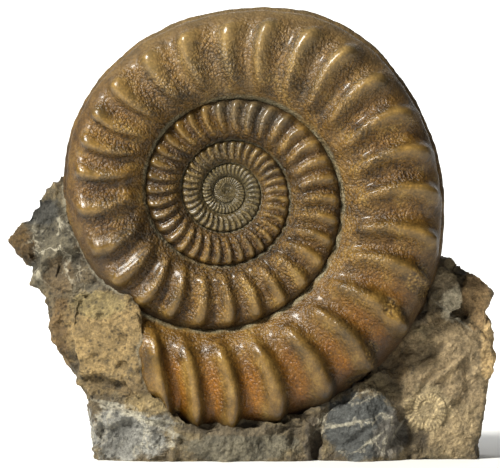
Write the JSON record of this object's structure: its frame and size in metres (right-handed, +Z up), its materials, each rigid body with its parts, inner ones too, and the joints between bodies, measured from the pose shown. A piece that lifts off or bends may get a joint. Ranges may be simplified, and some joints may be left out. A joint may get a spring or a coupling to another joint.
{
  "type": "ammonite fossil",
  "caption": "Ribbed, flat-coiled ammonite shell of brown calcite, standing upright in the broken block of limestone it was found in.",
  "frame": {"origin": "on the block's flat foot, straight below the centre of the coil, in the shell's middle plane", "axes": "+Z up from the foot, +X to the right as the better face is seen, along the block's length; the better face looks along -Y"},
  "size_m": [0.3399, 0.1064, 0.3159],
  "materials": {
    "brown_calcite": "golden to dark brown calcite under a worn varnish, half gloss",
    "limestone": "rough broken limestone, grey-blue inside with brown weathered skins and pale veins"
  },
  "bodies": {
    "root": {"ammonite": "brown_calcite", "matrix_block": "limestone"}
  },
  "joints": []
}
